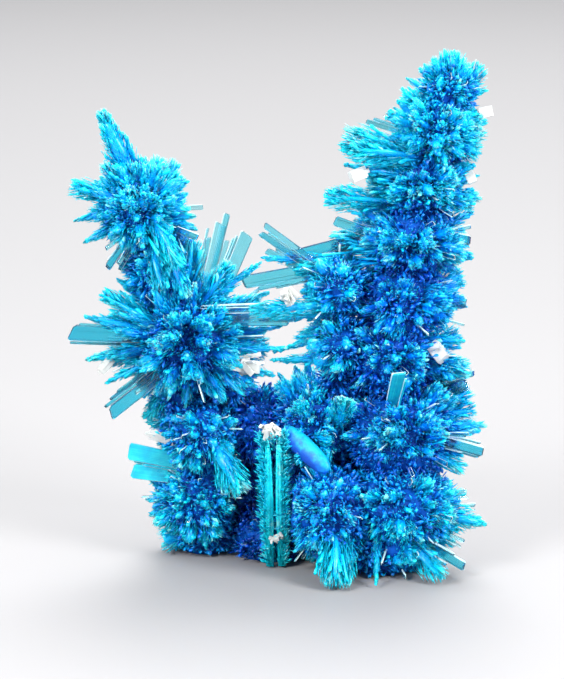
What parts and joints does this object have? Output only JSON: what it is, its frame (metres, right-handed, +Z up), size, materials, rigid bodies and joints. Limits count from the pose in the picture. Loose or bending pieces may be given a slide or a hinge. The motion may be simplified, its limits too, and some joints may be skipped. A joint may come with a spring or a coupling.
{
  "type": "pentagonite crystal specimen",
  "caption": "Two branching towers of radiating blue crystals on one base that is cut flat underneath, with small white crystals seated on it.",
  "frame": {"origin": "on the flat underside that the piece rests on, under the middle of the base", "axes": "+Z up, +Y away from the viewer of its best side, +X to that viewer's right, towards the taller tower"},
  "size_m": [0.0425, 0.0219, 0.0525],
  "materials": {
    "base_cluster": "glassy crystal faces",
    "left_tower": "glassy crystal faces",
    "right_tower": "glassy crystal faces",
    "white_crystal": "pearly"
  },
  "bodies": {
    "root": {"base_cluster": "base_cluster", "left_tower": "left_tower", "right_tower": "right_tower", "white_crystal_top": "white_crystal", "white_crystal_upper": "white_crystal", "white_crystal_side": "white_crystal", "white_crystal_bridge": "white_crystal", "white_crystal_shoulder": "white_crystal", "white_crystal_fork": "white_crystal", "white_crystal_edge": "white_crystal", "white_crystal_pillar": "white_crystal", "white_crystal_foot": "white_crystal", "white_crystal_left": "white_crystal"}
  },
  "joints": []
}
